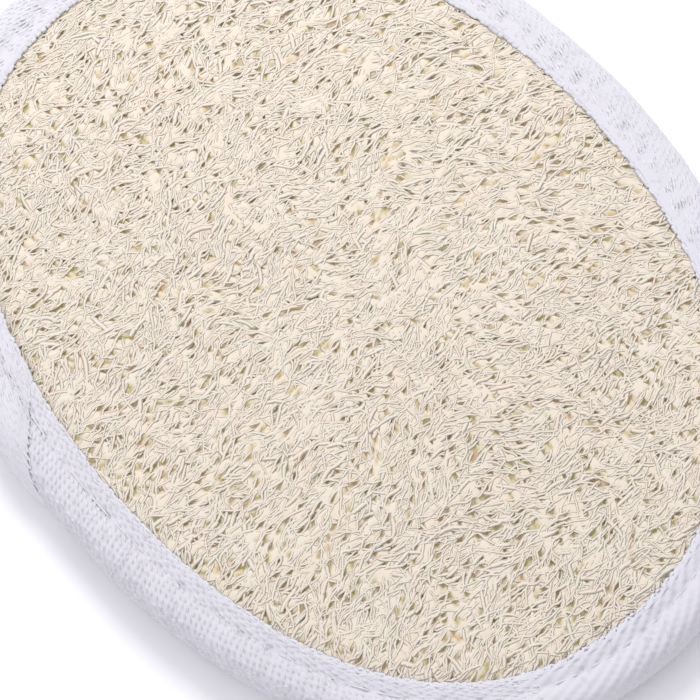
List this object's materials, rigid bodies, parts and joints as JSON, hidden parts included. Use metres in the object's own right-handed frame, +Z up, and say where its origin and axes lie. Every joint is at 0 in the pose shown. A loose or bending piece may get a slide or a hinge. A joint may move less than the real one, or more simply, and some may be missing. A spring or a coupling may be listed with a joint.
{
  "type": "oval loofah scrub pad",
  "caption": "Flat oval bath scrub pad: a natural loofah face with a raised fibre net and a terry cloth back, bound round the edge with woven cotton tape.",
  "frame": {"origin": "middle of the underside, on the surface that the pad rests on", "axes": "+X along the oval's long axis, +Y across it, +Z up out of the loofah face"},
  "size_m": [0.148, 0.1129, 0.0103],
  "materials": {
    "loofah_fibre": "matte",
    "binding_cotton": "matte",
    "terry_cotton": "matte",
    "sewing_thread": "matte"
  },
  "bodies": {
    "root": {"loofah_pad": "loofah_fibre", "terry_backing": "terry_cotton", "binding_tape": "binding_cotton", "seam_thread_top": "sewing_thread", "seam_thread_bottom": "sewing_thread"}
  },
  "joints": []
}
